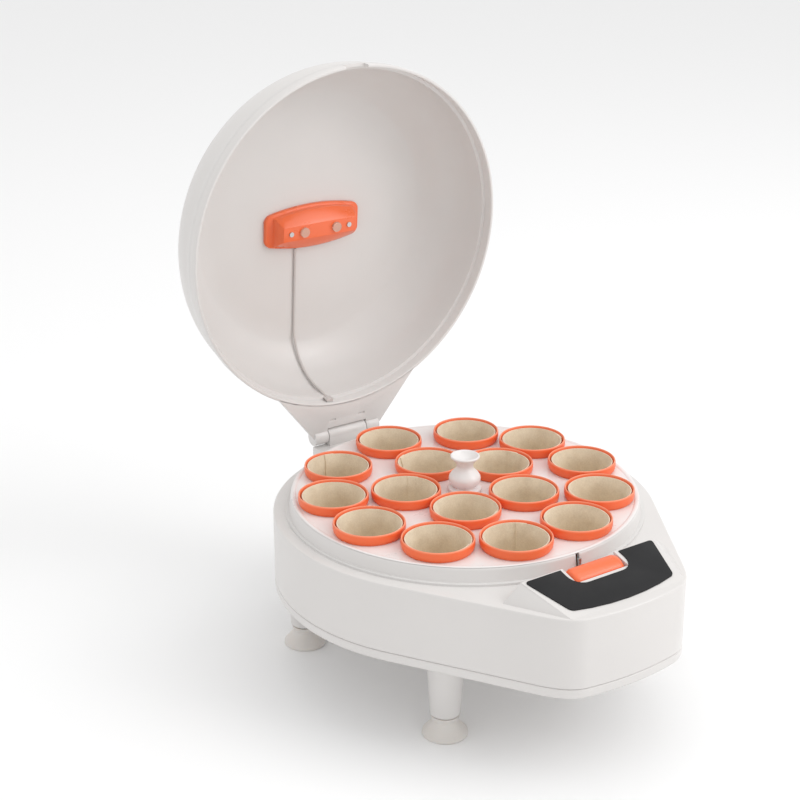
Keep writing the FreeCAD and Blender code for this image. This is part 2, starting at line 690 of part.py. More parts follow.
def wire(ceiling):
    """Lamp wire: along the crown, one wide bend, then down the skirt into its clip."""
    x = wire_side.value
    level = ceiling.value - wire_radius.value * 1.1
    lean = lid_draft.value / lid_skirt.value
    start = FreeCAD.Vector(x, lamp_offset.value + lamp_width.value / 2, level)
    end_z = lid_rim.value + clip_width.value * 1.5
    wall_y = math.sqrt((lid_radius.value - lid_wall.value) ** 2 - x * x) - wire_radius.value * 1.3
    end = FreeCAD.Vector(x, wall_y - (end_z - lid_rim.value) * lean, end_z)
    corner = FreeCAD.Vector(x, wall_y - (level - lid_rim.value) * lean, level)
    back = (start - corner).normalize()
    down = (end - corner).normalize()
    half_turn = (math.pi - back.getAngle(down)) / 2
    reach = wire_bend.value * math.tan(half_turn)
    first = corner + back * reach
    last = corner + down * reach
    toward = (back + down).normalize()
    middle = corner + toward * (wire_bend.value / math.cos(half_turn) - wire_bend.value)
    path = Part.Wire([Part.LineSegment(start, first).toShape(), Part.Arc(first, middle, last).toShape(),
                      Part.LineSegment(last, end).toShape()])
    section = Part.Wire([Part.makeCircle(wire_radius.value, start, FreeCAD.Vector(0, 1, 0))])
    lead = doc.addObject("Part::Feature", "lid_wire")
    lead.Shape = path.makePipeShell([section], True, False)
    print("lid wire length", round(path.Length, 1), "bend radius", wire_bend.value)
    keep("lid_wire", hinged(lead))


def latch():
    """Button and steel hook that turn together on a pin behind the panel; panel overlay."""
    rear = button_front - button_length
    low = latch_pin_height - button_height * 0.4
    deck_front = deck_height(button_front)
    form = block("button_form", "YZ_Plane", [
        (-button_front, low), (-rear, low), (-rear, deck_height(rear) - lid_gap * 2),
        (-rear - button_round, deck_height(rear) + button_round * 0.6),
        (-rear - button_length * 0.55, deck_height(rear) + button_round * 0.3),
        (-button_front, deck_front + button_round * 0.6)], button_width, None, True)
    slot = box("hook_slot", hook_thickness, button_length, button_height, 0, -button_front + button_length * 0.5,
               low - 1)
    hole = cylinder("button_bore", latch_pin_radius + pin_fit, button_width + 2, 0, -latch_pin_reach,
                    latch_pin_height, True)
    keep("latch_button", cut("latch_button", form, [slot, hole]))
    arm_top = shoulder_height - lid_gap * 3
    tip = drum_radius + hook_clear
    keep("latch_hook", block("latch_hook", "YZ_Plane", [
        (-button_front + button_length * 0.5, low), (-tip, low + button_height * 0.3),
        (-tip, drum_top - hook_drop), (-tip - hook_nose, drum_top - hook_drop),
        (-tip - hook_nose, arm_top), (-rear + 0.1, arm_top), (-rear + 0.1, low + button_height - 1.0),
        (-button_front + button_length * 0.5, low + button_height - 1.0)], hook_thickness, None, True))
    keep("latch_pin", cylinder("latch_pin", latch_pin_radius, pin_length, 0, -latch_pin_reach, latch_pin_height,
                               True))
    low_v = -panel_start - panel_depth
    cut_v = -(button_front + button_gap + panel_border - deck_rear - deck_ridge) / cosine(deck_slope)
    cut_half = button_width / 2 + button_gap + panel_border
    overlay = block("panel_overlay", "XY_Plane", [
        (-panel_top_width, -panel_start), (-panel_foot_width, low_v), (panel_foot_width, low_v, panel_bow),
        (panel_top_width, -panel_start), (cut_half, -panel_start), (cut_half, cut_v + panel_border),
        (cut_half - panel_border, cut_v), (-cut_half + panel_border, cut_v), (-cut_half, cut_v + panel_border),
        (-cut_half, -panel_start)], panel_thickness)
    overlay.Placement.Rotation = FreeCAD.Rotation(FreeCAD.Vector(1, 0, 0), 1)
    overlay.setExpression("Placement.Rotation.Angle", deck_slope.text)
    keep("panel_overlay", bind(overlay, Placement__Base__y=-deck_rear - deck_ridge,
                                Placement__Base__z=deck_top))


casing()
base()
chamber()
carousel()
lid()
latch()
doc.recompute()

for obj in doc.Objects:
    if "Invalid" in obj.State or "Error" in obj.State:
        raise RuntimeError(f"{obj.Label} did not build: {obj.State}")
os.makedirs("parts", exist_ok=True)
for label, obj in sub_parts.items():
    if obj.Shape.isNull() or not obj.Shape.isValid():
        raise RuntimeError(f"{label} has no valid shape")
for label, obj in sub_parts.items():
    obj.Shape.exportStep(f"parts/{label}.step")
print(len(sub_parts), "sub-parts written")
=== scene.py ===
import json
import math
import random

import bpy
from mathutils import Matrix, Vector


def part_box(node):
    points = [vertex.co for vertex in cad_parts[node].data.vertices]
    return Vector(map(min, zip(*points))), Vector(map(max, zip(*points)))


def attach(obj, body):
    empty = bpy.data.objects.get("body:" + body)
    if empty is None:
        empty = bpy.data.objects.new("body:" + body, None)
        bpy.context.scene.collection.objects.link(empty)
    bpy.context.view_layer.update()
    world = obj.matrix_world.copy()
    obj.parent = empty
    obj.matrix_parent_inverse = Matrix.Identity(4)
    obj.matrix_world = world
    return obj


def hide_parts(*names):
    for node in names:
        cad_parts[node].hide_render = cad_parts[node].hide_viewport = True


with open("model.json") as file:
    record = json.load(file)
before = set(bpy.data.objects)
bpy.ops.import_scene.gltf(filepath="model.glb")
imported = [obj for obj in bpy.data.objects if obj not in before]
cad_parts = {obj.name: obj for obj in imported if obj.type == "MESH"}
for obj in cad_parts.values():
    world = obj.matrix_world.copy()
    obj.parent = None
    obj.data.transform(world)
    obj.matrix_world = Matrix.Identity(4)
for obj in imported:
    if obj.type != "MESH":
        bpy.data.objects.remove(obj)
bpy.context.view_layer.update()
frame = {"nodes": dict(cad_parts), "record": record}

# %% [markdown]
# The real object is a bench dryer: a white drum on suction feet, with a plate of lined cups that turns
# under a domed lid. The solid model gives every place and size. This lesson gives each piece its rounded
# form and its finish. Sizes are written in millimetres and turned into metres by MM.

# %% Places taken from the frame
MM = 0.001
SEAL_OVERHANG = 4


def span(node):
    """Lowest and highest corner of a node, as vectors."""
    low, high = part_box(node)
    return Vector(low), Vector(high)


drum_top = span("carousel_plate")[1].z
pan_high = span("base_pan")[1]
seam_height = pan_high.z
base_height = span("base_screws")[1].z
shoulder = span("seal_ring")[0].z
drum_radius = span("seal_ring")[1].x - SEAL_OVERHANG * MM
body_radius = pan_high.x
pin_low, pin_high = span("hinge_pin")
hinge = (pin_low + pin_high) / 2
cup_places = [sum(span(f"cup_{number}"), Vector()) / 2 for number in range(1, 17)]
collar_top = span("cup_1")[1].z
lid_joint = [joint for joint in frame["record"]["behaviour"]["joints"] if joint["name"] == "lid_hinge"][0]
LID_OPEN = math.radians(lid_joint["range_deg"][1])
print("drum top", round(drum_top / MM, 1), "seam", round(seam_height / MM, 1))
print("hinge", [round(v / MM) for v in hinge])

# %% [markdown]
# Turned pieces such as cups, knobs and feet are made as on a lathe. A circle with as many points as the
# section has corners is added, its points are moved to the corners, and Spin sweeps the section round the
# axis. A bevel then softens the edges that a mould would leave round.


# %% Modelling helpers
SMOOTH_ANGLE = math.radians(32)


def clear_selection():
    if bpy.context.object and bpy.context.object.mode != "OBJECT":
        bpy.ops.object.mode_set(mode="OBJECT")
    bpy.ops.object.select_all(action="DESELECT")


def settle(piece):
    """Put a piece's place into its mesh, so that its object sits at the origin."""
    clear_selection()
    piece.select_set(True)
    bpy.context.view_layer.objects.active = piece
    bpy.ops.object.transform_apply(location=True, rotation=True, scale=True)


def apply_modifier(piece, kind, **settings):
    """Add a modifier, set it up and apply it."""
    clear_selection()
    piece.select_set(True)
    bpy.context.view_layer.objects.active = piece
    modifier = piece.modifiers.new(kind.title(), kind)
    for name, value in settings.items():
        setattr(modifier, name, value)
    bpy.ops.object.modifier_apply(modifier=modifier.name)


def soften(piece, width, segments=2, angle=28):
    """Round the hard edges and shade the rest smooth."""
    apply_modifier(piece, "BEVEL", width=width, segments=segments, limit_method="ANGLE",
                   angle_limit=math.radians(angle), harden_normals=False)
    clear_selection()
    piece.select_set(True)
    bpy.context.view_layer.objects.active = piece
    bpy.ops.object.shade_smooth_by_angle(angle=SMOOTH_ANGLE)


def tidy_mesh(piece):
    """Merge doubles and point every face outwards."""
    clear_selection()
    piece.select_set(True)
    bpy.context.view_layer.objects.active = piece
    bpy.ops.object.mode_set(mode="EDIT")
    bpy.ops.mesh.select_all(action="SELECT")
    bpy.ops.mesh.remove_doubles(threshold=0.00001)
    bpy.ops.mesh.dissolve_degenerate(threshold=0.000005)
    bpy.ops.mesh.normals_make_consistent(inside=False)
    bpy.ops.object.mode_set(mode="OBJECT")


def turned(name, section, steps=72, bevel=0.0, angle=28):
    """Spin a closed half section of (radius, height) corners, in millimetres, about the Z axis."""
    clear_selection()
    bpy.ops.mesh.primitive_circle_add(vertices=len(section), radius=1, fill_type="NOTHING")
    piece = bpy.context.object
    piece.name = name
    for vertex, (radius, height) in zip(piece.data.vertices, section):
        vertex.co = (radius * MM, 0, height * MM)
    bpy.ops.object.mode_set(mode="EDIT")
    bpy.ops.mesh.select_all(action="SELECT")
    bpy.ops.mesh.spin(steps=steps, angle=2 * math.pi, center=(0, 0, 0), axis=(0, 0, 1))
    bpy.ops.object.mode_set(mode="OBJECT")
    tidy_mesh(piece)
    soften(piece, bevel * MM if bevel else 0.00001, 3 if bevel else 1, angle)
    return piece


def moved_copy(piece, name, place):
    """A copy with its own mesh, moved to a place."""
    copy = piece.copy()
    copy.data = piece.data.copy()
    copy.name = name
    bpy.context.collection.objects.link(copy)
    copy.location = place
    settle(copy)
    return copy


def discard(piece):
    bpy.data.objects.remove(piece, do_unlink=True)


def join(name, pieces):
    """Join pieces into the first one."""
    clear_selection()
    for piece in pieces:
        piece.select_set(True)
    bpy.context.view_layer.objects.active = pieces[0]
    bpy.ops.object.join()
    pieces[0].name = name
    return pieces[0]


def bar(name, low, high, bevel):
    """A box between two corners, in metres, with rounded edges."""
    clear_selection()
    low, high = Vector(low), Vector(high)
    bpy.ops.mesh.primitive_cube_add(size=1, location=(low + high) / 2)
    piece = bpy.context.object
    piece.name = name
    piece.scale = high - low
    settle(piece)
    if bevel:
        soften(piece, bevel)
    return piece


def stacked(name, rings):
    """A closed solid through rings that have the same number of points."""
    clear_selection()
    bpy.ops.mesh.primitive_circle_add(vertices=len(rings[0]), radius=1, fill_type="NGON")
    piece = bpy.context.object
    piece.name = name
    bpy.ops.object.mode_set(mode="EDIT")
    bpy.ops.mesh.select_all(action="SELECT")
    for _ in rings[1:]:
        bpy.ops.mesh.extrude_region_move()
    bpy.ops.object.mode_set(mode="OBJECT")
    for vertex, point in zip(piece.data.vertices, [point for ring in rings for point in ring]):
        vertex.co = point
    tidy_mesh(piece)
    return piece


def rod(name, radius, start, end, bevel, steps=40):
    """A round bar from start to end, with rounded rims."""
    clear_selection()
    start, end = Vector(start), Vector(end)
    bpy.ops.mesh.primitive_cylinder_add(vertices=steps, radius=radius, depth=(end - start).length)
    piece = bpy.context.object
    piece.name = name
    turn = (end - start).to_track_quat("Z", "Y").to_matrix().to_4x4()
    piece.matrix_world = Matrix.Translation((start + end) / 2) @ turn
    settle(piece)
    soften(piece, bevel)
    return piece


def carve(piece, cutter):
    """Cut one piece out of another and drop the cutter."""
    apply_modifier(piece, "BOOLEAN", operation="DIFFERENCE", solver="EXACT", object=cutter)
    discard(cutter)


def open_lid(piece):
    """Swing a piece modelled on the closed lid up to the open rest pose."""
    swing = Matrix.Translation(hinge) @ Matrix.Rotation(-LID_OPEN, 4, "X") @ Matrix.Translation(-hinge)
    piece.matrix_world = swing @ piece.matrix_world
    settle(piece)


# %% [markdown]
# Moulded plastic is never one flat colour: it has a faint mottling, a fine grain that breaks up the
# highlight and a slightly rougher patch here and there. One builder makes that base for every plastic,
# and each finish below sets its own colour, grain and gloss.


# %% Finishes
def shader(name):
    """A new material with its nodes, shader and object coordinates."""
    material = bpy.data.materials.new(name)
    material.use_nodes = True
    tree = material.node_tree
    surface = tree.nodes["Principled BSDF"]
    place = tree.nodes.new("ShaderNodeTexCoord")
    return material, tree, surface, place


def noise(tree, place, scale, detail=3.0, roughness=0.5):
    node = tree.nodes.new("ShaderNodeTexNoise")
    node.inputs["Scale"].default_value = scale
    node.inputs["Detail"].default_value = detail
    node.inputs["Roughness"].default_value = roughness
    tree.links.new(place.outputs["Object"], node.inputs["Vector"])
    return node


def ramp(tree, source, low, high, start=0.3, end=0.7):
    """Map a grey value to a range between two colours."""
    node = tree.nodes.new("ShaderNodeValToRGB")
    node.color_ramp.elements[0].position = start
    node.color_ramp.elements[0].color = (*low, 1)
    node.color_ramp.elements[1].position = end
    node.color_ramp.elements[1].color = (*high, 1)
    tree.links.new(source, node.inputs["Fac"])
    return node


def plastic(name, colour, roughness, grain=1600, relief=0.04, mottle=0.03, coat=0.0, subsurface=0.0):
    """Moulded plastic: mottled colour, uneven gloss and a fine grain."""
    material, tree, surface, place = shader(name)
    cloud = noise(tree, place, 14)
    dark = [max(0.0, c * (1 - mottle)) for c in colour]
    light = [min(1.0, c * (1 + mottle * 0.5)) for c in colour]
    tint = ramp(tree, cloud.outputs["Fac"], dark, light)
    tree.links.new(tint.outputs["Color"], surface.inputs["Base Color"])
    smear = noise(tree, place, 55, 4)
    gloss = ramp(tree, smear.outputs["Fac"], [roughness * 0.88] * 3, [min(1.0, roughness * 1.15)] * 3)
    tree.links.new(gloss.outputs["Color"], surface.inputs["Roughness"])
    fine = noise(tree, place, grain, 2)
    bump = tree.nodes.new("ShaderNodeBump")
    bump.inputs["Strength"].default_value = relief
    bump.inputs["Distance"].default_value = 0.0002
    tree.links.new(fine.outputs["Fac"], bump.inputs["Height"])
    tree.links.new(bump.outputs["Normal"], surface.inputs["Normal"])
    surface.inputs["Coat Weight"].default_value = coat
    surface.inputs["Coat Roughness"].default_value = 0.12
    surface.inputs["Subsurface Weight"].default_value = subsurface
    surface.inputs["Subsurface Radius"].default_value = (0.004, 0.003, 0.002)
    surface.inputs["Subsurface Scale"].default_value = 0.5
    return material


def metal(name, colour, roughness):
    """Drawn metal: fine streaks along Z and an uneven shine."""
    material, tree, surface, place = shader(name)
    mapping = tree.nodes.new("ShaderNodeMapping")
    mapping.inputs["Scale"].default_value = (900, 900, 40)
    tree.links.new(place.outputs["Object"], mapping.inputs["Vector"])
    streak = tree.nodes.new("ShaderNodeTexNoise")
    streak.inputs["Scale"].default_value = 1.0
    tree.links.new(mapping.outputs["Vector"], streak.inputs["Vector"])
    tint = ramp(tree, streak.outputs["Fac"], [c * 0.85 for c in colour], colour)
    tree.links.new(tint.outputs["Color"], surface.inputs["Base Color"])
    gloss = ramp(tree, streak.outputs["Fac"], [roughness * 0.8] * 3, [roughness * 1.2] * 3)
    tree.links.new(gloss.outputs["Color"], surface.inputs["Roughness"])
    surface.inputs["Metallic"].default_value = 1.0
    return material


def liner_sheet(name):
    """Pressed fibre sheet: fine fibres, soft blotches and no gloss."""
    material, tree, surface, place = shader(name)
    fibres = noise(tree, place, 900, 6, 0.7)
    blotch = noise(tree, place, 90, 3)
    mix = tree.nodes.new("ShaderNodeMath")
    mix.operation = "MULTIPLY_ADD"
    mix.inputs[1].default_value = 0.5
    tree.links.new(fibres.outputs["Fac"], mix.inputs[0])
    half = tree.nodes.new("ShaderNodeMath")
    half.operation = "MULTIPLY"
    half.inputs[1].default_value = 0.5
    tree.links.new(blotch.outputs["Fac"], half.inputs[0])
    tree.links.new(half.outputs["Value"], mix.inputs[2])
    tint = ramp(tree, mix.outputs["Value"], (0.68, 0.56, 0.41), (0.86, 0.75, 0.585), 0.34, 0.66)
    tree.links.new(tint.outputs["Color"], surface.inputs["Base Color"])
    bump = tree.nodes.new("ShaderNodeBump")
    bump.inputs["Strength"].default_value = 0.25
    bump.inputs["Distance"].default_value = 0.0003
    tree.links.new(fibres.outputs["Fac"], bump.inputs["Height"])
    tree.links.new(bump.outputs["Normal"], surface.inputs["Normal"])
    surface.inputs["Roughness"].default_value = 0.9
    surface.inputs["Sheen Weight"].default_value = 0.15
    return material


def paint_lip_highlight(material, start, end, colour):
    """Fade a finish to a paler colour between two heights: a painted highlight."""
    tree = material.node_tree
    surface = tree.nodes["Principled BSDF"]
    tint = surface.inputs["Base Color"].links[0].from_socket
    split = tree.nodes.new("ShaderNodeSeparateXYZ")
    place = tree.nodes.new("ShaderNodeTexCoord")
    tree.links.new(place.outputs["Object"], split.inputs["Vector"])
    height = tree.nodes.new("ShaderNodeMapRange")
    height.inputs["From Min"].default_value = start
    height.inputs["From Max"].default_value = end
    tree.links.new(split.outputs["Z"], height.inputs["Value"])
    blend = tree.nodes.new("ShaderNodeMixRGB")
    blend.inputs["Color2"].default_value = (*colour, 1)
    tree.links.new(height.outputs["Result"], blend.inputs["Fac"])
    tree.links.new(tint, blend.inputs["Color1"])
    tree.links.new(blend.outputs["Color"], surface.inputs["Base Color"])


def clear_lens(name):
    """Clear moulded lens with a faint frosting."""
    material, tree, surface, place = shader(name)
    frost = noise(tree, place, 700, 2)
    gloss = ramp(tree, frost.outputs["Fac"], [0.08] * 3, [0.2] * 3)
    tree.links.new(gloss.outputs["Color"], surface.inputs["Roughness"])
    surface.inputs["Base Color"].default_value = (0.96, 0.62, 0.48, 1)
    surface.inputs["Transmission Weight"].default_value = 0.5
    surface.inputs["IOR"].default_value = 1.46
    return material


WHITE = (0.70, 0.677, 0.66)
ORANGE = (0.90, 0.155, 0.045)
white_shell = plastic("white_shell", WHITE, 0.36, coat=0.15, mottle=0.02)
white_plate = plastic("white_plate", (0.80, 0.772, 0.76), 0.30, coat=0.2, mottle=0.015)
orange_cup = plastic("orange_cup", ORANGE, 0.42, grain=2200, mottle=0.06, subsurface=0.08)
# The collar's top lip fades to a paler orange: a painted highlight where light falls on the lip.
paint_lip_highlight(orange_cup, collar_top - 1.3 * MM, collar_top - 0.1 * MM, (0.92, 0.30, 0.17))
orange_gloss = plastic("orange_gloss", ORANGE, 0.30, grain=1800, mottle=0.05, coat=0.25)
panel_black = plastic("panel_black", (0.018, 0.018, 0.019), 0.5, grain=2600, relief=0.06, mottle=0.12)
panel_black.node_tree.nodes["Principled BSDF"].inputs["Specular IOR Level"].default_value = 0.2
foot_rubber = plastic("foot_rubber", (0.70, 0.665, 0.63), 0.5, grain=700, mottle=0.05, subsurface=0.2)
seal_grey = plastic("seal_grey", (0.72, 0.705, 0.69), 0.55, grain=900)
wire_grey = plastic("wire_grey", (0.60, 0.56, 0.54), 0.5, grain=1500, mottle=0.08)
socket_black = plastic("socket_black", (0.03, 0.03, 0.03), 0.5, grain=1500, mottle=0.1)
board_green = plastic("board_green", (0.03, 0.16, 0.06), 0.4, grain=900, mottle=0.2)
steel = metal("steel", (0.62, 0.62, 0.62), 0.3)
pressed_metal = metal("pressed_metal", (0.72, 0.72, 0.72), 0.38)
liner_card = liner_sheet("liner_card")
lens_clear = clear_lens("lens_clear")
SLOT_FINISH = {"white_shell": white_shell, "white_plate": white_plate, "foot_rubber": foot_rubber,
               "seal_grey": seal_grey, "orange_cup": orange_cup, "liner_card": liner_card,
               "orange_gloss": orange_gloss, "panel_black": panel_black, "steel": steel,
               "chamber_metal": pressed_metal, "board_green": board_green, "lens_clear": lens_clear,
               "wire_grey": wire_grey, "inlet_black": socket_black}
node_slot = {row["node"]: row["material_slot"] for row in frame["record"]["subparts"]}
for node, obj in frame["nodes"].items():
    obj.data.materials.clear()
    obj.data.materials.append(SLOT_FINISH[node_slot[node]])
print(len(SLOT_FINISH), "finishes given to", len(node_slot), "nodes")


def dress(piece, slot, body, *nodes):
    """Give a new piece its finish and its body, and hide the nodes that it stands for."""
    piece.data.materials.clear()
    piece.data.materials.append(SLOT_FINISH[slot])
    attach(piece, body)
    if nodes:
        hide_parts(*nodes)
    return piece


# %% [markdown]
# The upper housing is one thin moulding. Its outline is a circle that runs into a blunt nose, and its
# section goes up a plain wall, over a level shoulder, across to the drum and up the drum's rim. Rings of
# points that follow the outline are extruded one after another, so wall, shoulder and drum stay one
# smooth skin.

# %% Casing outline
RADIUS = body_radius / MM
NOSE_REACH, NOSE_HALF, NOSE_BOW, NOSE_CORNER = 187, 53, 210, 14


def nose_distance(angle):
    """Distance from the axis to the bowed front at an angle from straight ahead."""
    sag = NOSE_BOW - math.sqrt(NOSE_BOW ** 2 - NOSE_HALF ** 2)
    centre = NOSE_REACH + sag - NOSE_BOW
    return centre * math.cos(angle) + math.sqrt(NOSE_BOW ** 2 - (centre * math.sin(angle)) ** 2)


def side_distance(angle):
    """Distance to the tangent line that runs from the drum to a nose corner."""
    far = math.hypot(NOSE_HALF, NOSE_REACH)
    lean = math.atan2(NOSE_HALF, NOSE_REACH) + math.acos(RADIUS / far)
    away = abs(angle) - lean
    return RADIUS if away > 0 else RADIUS / math.cos(away)


def plan_distance(angle):
    """Outline distance, with the corner between side and front rounded off."""
    front = nose_distance(angle) if abs(angle) < 1.0 else 400
    side = side_distance(angle)
    blend = max(0.0, 1 - abs(front - side) / NOSE_CORNER)
    return min(front, side) - blend * blend * NOSE_CORNER * 0.25


ANGLES = sorted({round(math.radians(step), 6) for step in range(-180, 180, 3)}
                | {round(math.radians(step * 0.75), 6) for step in range(-48, 49)})


def ring_points(inset, height, circle=None):
    """Ring of points: the outline less an inset, or a circle; height may depend on the place."""
    points = []
    for angle in ANGLES:
        reach = circle if circle else plan_distance(angle) - inset
        x, y = reach * math.sin(angle), -reach * math.cos(angle)
        level = height(y) if callable(height) else height
        points.append(Vector((x, y, level)) * MM)
    return points


def skin(name, rings, closed=True):
    """Extrude ring after ring of points into a skin; a closed section joins the last ring to the first."""
    clear_selection()
    bpy.ops.mesh.primitive_circle_add(vertices=len(ANGLES), radius=1, fill_type="NOTHING")
    piece = bpy.context.object
    piece.name = name
    bpy.ops.object.mode_set(mode="EDIT")
    bpy.ops.mesh.select_all(action="SELECT")
    for _ in rings[1:]:
        bpy.ops.mesh.extrude_region_move()
    bpy.ops.object.mode_set(mode="OBJECT")
    vertices = piece.data.vertices
    count = len(ANGLES)
    for index, ring in enumerate(rings):
        for step, point in enumerate(ring):
            vertices[index * count + step].co = point
    bpy.ops.object.mode_set(mode="EDIT")
    bpy.ops.mesh.select_all(action="DESELECT")
    bpy.ops.object.mode_set(mode="OBJECT")
    for step in range(count):
        vertices[step].select = True
        vertices[(len(rings) - 1) * count + step].select = True
    bpy.ops.object.mode_set(mode="EDIT")
    bpy.ops.mesh.select_mode(type="VERT")
    if closed:
        bpy.ops.mesh.bridge_edge_loops()
    else:
        bpy.ops.mesh.edge_face_add()
    bpy.ops.object.mode_set(mode="OBJECT")
    tidy_mesh(piece)
    return piece


SHOULDER, SEAM, DRUM_TOP = shoulder / MM, seam_height / MM, drum_top / MM
DRUM = drum_radius / MM
WALL, SEAM_GAP = 2.6, 0.2
SHOULDER_ROUND, DRUM_EDGE = 1.4, 2.0
QUARTER = [math.radians(22.5 * step) for step in range(5)]

rings = [ring_points(0.6, SEAM + SEAM_GAP), ring_points(0, SEAM + SEAM_GAP + 0.6), ring_points(0, SEAM + 20)]
for turn in QUARTER:
    rings.append(ring_points(SHOULDER_ROUND * (1 - math.cos(turn)),
                             SHOULDER - SHOULDER_ROUND * (1 - math.sin(turn))))
rings += [ring_points(0, SHOULDER, DRUM + 3.0), ring_points(0, SHOULDER + 0.3, DRUM + 1.9),
          ring_points(0, SHOULDER + 1.2, DRUM + 1.3), ring_points(0, DRUM_TOP - DRUM_EDGE, DRUM)]
for turn in QUARTER[1:]:
    rings.append(ring_points(0, DRUM_TOP - DRUM_EDGE * (1 - math.sin(turn)),
                             DRUM - DRUM_EDGE * (1 - math.cos(turn))))
rings += [ring_points(0, DRUM_TOP, DRUM - WALL + 0.3), ring_points(0, DRUM_TOP - 0.3, DRUM - WALL),
          ring_points(0, SHOULDER - WALL, DRUM - WALL), ring_points(WALL, SHOULDER - WALL),
          ring_points(WALL, SEAM + SEAM_GAP)]
casing_skin = skin("casing_skin", rings)
print("casing rings", len(rings), "points in each", len(ANGLES))

# %% [markdown]
# The control panel lies on a raised deck: a hipped wedge that climbs from the nose to a ridge just ahead
# of the lid. A cube's corners are moved to the wedge's corners, and its edges are rounded as the mould
# leaves them.

# %% Panel deck
DECK_REAR, DECK_RISE, DECK_HALF, DECK_SIDE, DECK_TAPER = 140.8, 11.2, 59.0, 15.0, 9.0
DECK_SLOPE = math.radians(14.5)
DECK_RIDGE = 0.6
DECK_FRONT = DECK_REAR + DECK_RIDGE + DECK_RISE / math.tan(DECK_SLOPE)
DECK_TOP = SHOULDER + DECK_RISE


def deck_level(reach):
    """Height of the deck at a distance ahead of the axis."""
    return DECK_TOP - (reach - DECK_REAR - DECK_RIDGE) * math.tan(DECK_SLOPE)


deck_skin = bar("deck_skin", (-1, -1, 0), (1, 1, 1), 0)
for vertex in deck_skin.data.vertices:
    side = 1 if vertex.co.x > 0 else -1
    ahead, above = vertex.co.y < 0, vertex.co.z > 0.5
    if above:
        place = (side * DECK_HALF, -DECK_REAR - (DECK_RIDGE if ahead else 0), DECK_TOP)
    else:
        half = DECK_HALF - DECK_TAPER if ahead else DECK_HALF + DECK_SIDE
        place = (side * half, -DECK_FRONT if ahead else -DECK_REAR, SHOULDER - 0.05)
    vertex.co = Vector(place) * MM
tidy_mesh(deck_skin)
print("deck from", round(-DECK_FRONT), "to", -DECK_REAR, "mm")

# %% [markdown]
# The latch needs a pocket through the deck and a slit in the drum wall, and the rear wall has a hole for
# the power socket. Each is cut as a tool would cut it, with a block. The hinge lug is a plain block with
# a barrel on top.

# %% Casing openings and hinge lug
button_low, button_high = span("latch_button")
inlet_low, inlet_high = span("power_inlet")
GAP, POCKET_BELOW, POCKET_ABOVE = 1.0 * MM, 24 * MM, 16 * MM
SLIT_HALF, SLIT_END, SLIT_BELOW, SLIT_ABOVE = 1.7 * MM, -0.126, 20 * MM, 4 * MM
for piece in (casing_skin, deck_skin):
    carve(piece, bar("pocket_tool", (button_low.x - GAP, button_low.y - GAP, shoulder - POCKET_BELOW),
                     (button_high.x + GAP, button_high.y + GAP, shoulder + POCKET_ABOVE), 0))
soften(deck_skin, 0.5 * MM, 3, 10)
dress(deck_skin, "white_shell", "base")
carve(casing_skin, bar("slit_tool", (-SLIT_HALF, button_high.y, drum_top - SLIT_BELOW),
                       (SLIT_HALF, SLIT_END, drum_top + SLIT_ABOVE), 0))
carve(casing_skin, bar("inlet_tool", (inlet_low.x, 0.12, inlet_low.z), (inlet_high.x, 0.16, inlet_high.z), 0))
bpy.context.view_layer.objects.active = casing_skin
casing_skin.select_set(True)
bpy.ops.object.shade_smooth_by_angle(angle=SMOOTH_ANGLE)
dress(casing_skin, "white_shell", "base", "upper_housing")
KNUCKLE, BODY_KNUCKLE, LID_KNUCKLE, KNUCKLE_GAP = 6.5 * MM, 36 * MM, 12.4 * MM, 0.6 * MM
lug_half = BODY_KNUCKLE / 2 + LID_KNUCKLE
LUG_FRONT, LUG_DROP = 0.1405, 22 * MM
lug = bar("hinge_lug_skin", (-lug_half, LUG_FRONT, shoulder - LUG_DROP),
          (lug_half, hinge.y + MM, hinge.z - KNUCKLE - MM), 1.2 * MM)
neck = bar("hinge_neck", (-BODY_KNUCKLE / 2, hinge.y - KNUCKLE, hinge.z - KNUCKLE - 2 * MM),
           (BODY_KNUCKLE / 2, hinge.y + KNUCKLE, hinge.z), 0.4 * MM)
half_barrel = Vector((BODY_KNUCKLE / 2, 0, 0))
barrel = rod("hinge_barrel", KNUCKLE, hinge - half_barrel, hinge + half_barrel, 0.6 * MM)
dress(join("hinge_lug_skin", [lug, neck, barrel]), "white_shell", "base")
print("casing opened for latch, slit and socket")

# %% [markdown]
# The base pan closes the housing from below. Its wall meets the housing at the parting line, where both
# edges are slightly rounded and leave a fine groove. Four conical legs hold soft suction feet.

# %% Base pan, legs and feet
BASE, PAN_ROUND = base_height / MM, 2.5
rings = [ring_points(0.6, SEAM), ring_points(0, SEAM - 0.5)]
for turn in QUARTER:
    rings.append(ring_points(PAN_ROUND * (1 - math.cos(turn)), BASE + PAN_ROUND * (1 - math.sin(turn))))
pan_skin = skin("pan_skin", rings, closed=False)
foot_places = [sum(span(f"suction_foot_{number}"), Vector()) / 2 for number in range(1, 5)]
leg_form = turned("leg_form", [(0.1, 17), (10.4, 17), (11, 17.6), (14, BASE + 0.5),
                                (16.5, BASE + 3), (0.1, BASE + 3)], 48)
foot_form = turned("foot_form", [
    (0.1, 4), (9, 2.2), (14.5, 0), (16, 0), (16.5, 0.8), (16.3, 2.4), (12.6, 6.5), (10.2, 9.5), (9.3, 12),
    (10, 14), (10.4, 16), (4, 16.6), (0.1, 16.6)], 64, 0.25, 50)
legs = [moved_copy(leg_form, f"leg_{n}", (place.x, place.y, 0)) for n, place in enumerate(foot_places, 1)]
dress(join("pan_skin", [pan_skin] + legs), "white_shell", "base", "base_pan")
bpy.ops.object.shade_smooth_by_angle(angle=SMOOTH_ANGLE)
for number, place in enumerate(foot_places, 1):
    dress(moved_copy(foot_form, f"foot_{number}", (place.x, place.y, 0)), "foot_rubber", "base",
          f"suction_foot_{number}")
discard(leg_form)
discard(foot_form)
print("base pan with", len(legs), "legs and feet")

